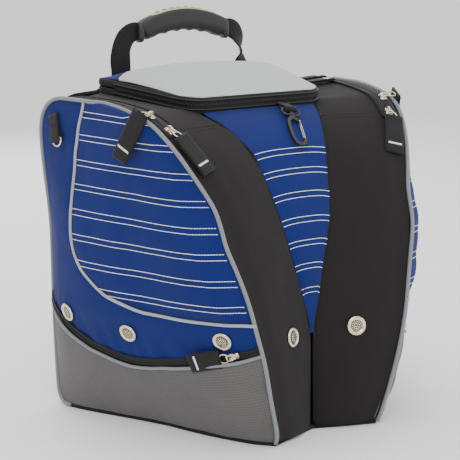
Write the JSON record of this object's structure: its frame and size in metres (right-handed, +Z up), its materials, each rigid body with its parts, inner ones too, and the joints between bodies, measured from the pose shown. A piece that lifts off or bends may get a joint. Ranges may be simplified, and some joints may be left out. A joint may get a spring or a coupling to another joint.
{
  "type": "ski boot bag",
  "caption": "Backpack for ski boots: two boot pockets turned inwards at the toe, a helmet pocket with a lid between them, carry handle, shoulder straps.",
  "frame": {"origin": "middle of the flat base, on the surface that the bag stands on", "axes": "+Z up, the toes of the boot pockets face -Y, the back panel and straps face +Y, +X across the bag"},
  "size_m": [0.4446, 0.3504, 0.4985],
  "materials": {
    "blue_cloth": "woven polyester, royal blue",
    "black_cloth": "woven polyester, warm black",
    "grey_mesh": "ripstop grid, warm grey",
    "pale_grey_cloth": "fine ribbed cloth, light grey",
    "black_webbing": "ribbed webbing",
    "grey_piping": "covered cord",
    "black_zipper": "coil zip on tape",
    "nickel": "bright, slightly warm",
    "black_plastic": "moulded",
    "black_rubber": "soft moulded",
    "olive_rubber": "soft moulded"
  },
  "bodies": {
    "shell": {"back_pads": "black_cloth", "back_panel": "black_cloth", "base_panel": "black_cloth", "front_panel": "blue_cloth", "handle_anchor": "black_webbing", "hook_tab": "black_webbing", "ladder_buckles": "black_plastic", "left_boot_zipper": "black_zipper", "left_divider": "black_cloth", "left_gusset": "black_cloth", "left_piping": "grey_piping", "left_pocket": "grey_mesh", "left_pocket_zipper": "black_zipper", "left_shoulder_strap": "black_cloth", "left_side_panel": "blue_cloth", "left_vents": "nickel", "lid_rear": "pale_grey_cloth", "lid_rim": "black_cloth", "right_boot_zipper": "black_zipper", "right_divider": "black_cloth", "right_gusset": "black_cloth", "right_piping": "grey_piping", "right_pocket": "grey_mesh", "right_pocket_zipper": "black_zipper", "right_shoulder_strap": "black_cloth", "right_side_panel": "blue_cloth", "right_vents": "nickel", "strap_webbing": "black_webbing"},
    "right_rear_pull": {"right_rear_pull": "black_webbing"},
    "right_d_ring": {"right_d_ring": "nickel"},
    "lid_pull_rear": {"lid_pull_rear": "black_webbing"},
    "left_pocket_slider": {"left_pocket_slider": "nickel"},
    "right_pocket_pull": {"right_pocket_pull": "black_webbing"},
    "lid_slider_rear": {"lid_slider_rear": "nickel"},
    "right_pocket_slider": {"right_pocket_slider": "nickel"},
    "hook_gate": {"hook_gate": "nickel"},
    "lid": {"lid": "pale_grey_cloth"},
    "handle": {"handle_strap": "black_webbing", "handle_grip": "black_rubber", "grip_insert": "olive_rubber", "grip_collars": "black_plastic"},
    "left_d_ring": {"left_d_ring": "nickel"},
    "lid_slider_front": {"lid_slider_front": "nickel"},
    "left_pocket_pull": {"left_pocket_pull": "black_webbing"},
    "right_flap": {"right_boot_flap": "blue_cloth", "right_flap_piping": "grey_piping", "right_ring_tab": "black_webbing"},
    "lid_pull_front": {"lid_pull_front": "black_webbing"},
    "left_rear_slider": {"left_rear_slider": "nickel"},
    "left_front_pull": {"left_front_pull": "black_webbing"},
    "left_flap": {"left_boot_flap": "blue_cloth", "left_flap_piping": "grey_piping", "left_ring_tab": "black_webbing"},
    "left_front_slider": {"left_front_slider": "nickel"},
    "right_front_slider": {"right_front_slider": "nickel"},
    "right_rear_slider": {"right_rear_slider": "nickel"},
    "right_front_pull": {"right_front_pull": "black_webbing"},
    "left_rear_pull": {"left_rear_pull": "black_webbing"},
    "hook": {"hook_body": "black_plastic"},
    "hook_eye": {"hook_eye": "black_plastic"}
  },
  "joints": [
    {"name": "lid_hinge", "type": "hinge", "parent": "shell", "child": "lid", "pos_m": [0, 0.126, 0.43], "axis": [-1, 0, 0], "range_deg": [0, 100]},
    {"name": "right_flap_fold", "type": "hinge", "parent": "shell", "child": "right_flap", "pos_m": [0.21834, 0.07109, 0.27162], "axis": [0.0383, 0.5487, -0.8351], "range_deg": [0, 105]},
    {"name": "left_flap_fold", "type": "hinge", "parent": "shell", "child": "left_flap", "pos_m": [-0.21834, 0.07109, 0.27162], "axis": [0.0383, -0.5487, 0.8351], "range_deg": [0, 105]},
    {"name": "handle_fold", "type": "hinge", "parent": "shell", "child": "handle", "pos_m": [0, 0.1615, 0.424], "axis": [-1, 0, 0], "range_deg": [-55, 85]},
    {"name": "right_rear_slider", "type": "slide", "parent": "shell", "child": "right_rear_slider", "axis": [0.1554, 0.9372, 0.3123], "range_m": [0, 0.05]},
    {"name": "right_rear_pull", "type": "hinge", "parent": "right_rear_slider", "child": "right_rear_pull", "pos_m": [0.17587, -0.03525, 0.39024], "axis": [-0.223, -0.9138, -0.3395], "range_deg": [0, 110]},
    {"name": "right_front_slider", "type": "slide", "parent": "shell", "child": "right_front_slider", "axis": [-0.2603, -0.8073, -0.5296], "range_m": [0, 0.005]},
    {"name": "right_front_pull", "type": "hinge", "parent": "right_front_slider", "child": "right_front_pull", "pos_m": [0.16497, -0.05939, 0.37463], "axis": [-0.9545, 0.2977, 0.0154], "range_deg": [0, 120]},
    {"name": "right_pocket_slider", "type": "slide", "parent": "shell", "child": "right_pocket_slider", "axis": [0.4616, 0.8659, -0.193], "range_m": [0, 0.06]},
    {"name": "right_pocket_pull", "type": "hinge", "parent": "right_pocket_slider", "child": "right_pocket_pull", "pos_m": [0.13123, -0.13556, 0.11422], "axis": [-0.3178, -0.0417, -0.9472], "range_deg": [0, 120]},
    {"name": "right_d_ring", "type": "hinge", "parent": "right_flap", "child": "right_d_ring", "pos_m": [0.21792, 0.11138, 0.34798], "axis": [-0.129, -0.9481, 0.2908], "range_deg": [0, 110]},
    {"name": "left_rear_slider", "type": "slide", "parent": "shell", "child": "left_rear_slider", "axis": [-0.1554, 0.9372, 0.3123], "range_m": [0, 0.05]},
    {"name": "left_rear_pull", "type": "hinge", "parent": "left_rear_slider", "child": "left_rear_pull", "pos_m": [-0.17587, -0.03525, 0.39024], "axis": [-0.223, 0.9138, 0.3395], "range_deg": [0, 110]},
    {"name": "left_front_slider", "type": "slide", "parent": "shell", "child": "left_front_slider", "axis": [0.2603, -0.8073, -0.5296], "range_m": [0, 0.005]},
    {"name": "left_front_pull", "type": "hinge", "parent": "left_front_slider", "child": "left_front_pull", "pos_m": [-0.16497, -0.05939, 0.37463], "axis": [-0.9545, -0.2977, -0.0154], "range_deg": [0, 120]},
    {"name": "left_pocket_slider", "type": "slide", "parent": "shell", "child": "left_pocket_slider", "axis": [-0.4616, 0.8659, -0.193], "range_m": [0, 0.06]},
    {"name": "left_pocket_pull", "type": "hinge", "parent": "left_pocket_slider", "child": "left_pocket_pull", "pos_m": [-0.13123, -0.13556, 0.11422], "axis": [-0.3178, 0.0417, 0.9472], "range_deg": [0, 120]},
    {"name": "left_d_ring", "type": "hinge", "parent": "left_flap", "child": "left_d_ring", "pos_m": [-0.21792, 0.11138, 0.34798], "axis": [-0.129, 0.9481, -0.2908], "range_deg": [0, 110]},
    {"name": "lid_slider_rear", "type": "slide", "parent": "shell", "child": "lid_slider_rear", "axis": [0.1707, 0.9818, 0.0835], "range_m": [0, 0.008]},
    {"name": "lid_pull_rear", "type": "hinge", "parent": "lid_slider_rear", "child": "lid_pull_rear", "pos_m": [0.12686, 0.10318, 0.40043], "axis": [-0.1713, -0.9852, 0], "range_deg": [0, 85]},
    {"name": "lid_slider_front", "type": "slide", "parent": "shell", "child": "lid_slider_front", "axis": [-0.1707, -0.9818, -0.0835], "range_m": [0, 0.05]},
    {"name": "lid_pull_front", "type": "hinge", "parent": "lid_slider_front", "child": "lid_pull_front", "pos_m": [0.12303, 0.08118, 0.39857], "axis": [-0.1713, -0.9852, 0], "range_deg": [0, 85]},
    {"name": "hook_hang", "type": "hinge", "parent": "shell", "child": "hook_eye", "pos_m": [0.03, -0.02998, 0.38099], "axis": [-0.9656, 0.1977, 0.1689], "range_deg": [0, 110]},
    {"name": "hook_swivel", "type": "hinge", "parent": "hook_eye", "child": "hook", "pos_m": [0.03, -0.02998, 0.38099], "axis": [-0.26, -0.7342, -0.6271], "range_deg": [-16, 10]},
    {"name": "hook_gate", "type": "hinge", "parent": "hook", "child": "hook_gate", "pos_m": [0.03275, -0.04503, 0.36814], "axis": [0, 0.6495, -0.7604], "range_deg": [0, 18], "stiffness_Nm_per_rad": 0.02, "springref_deg": -11.46}
  ]
}
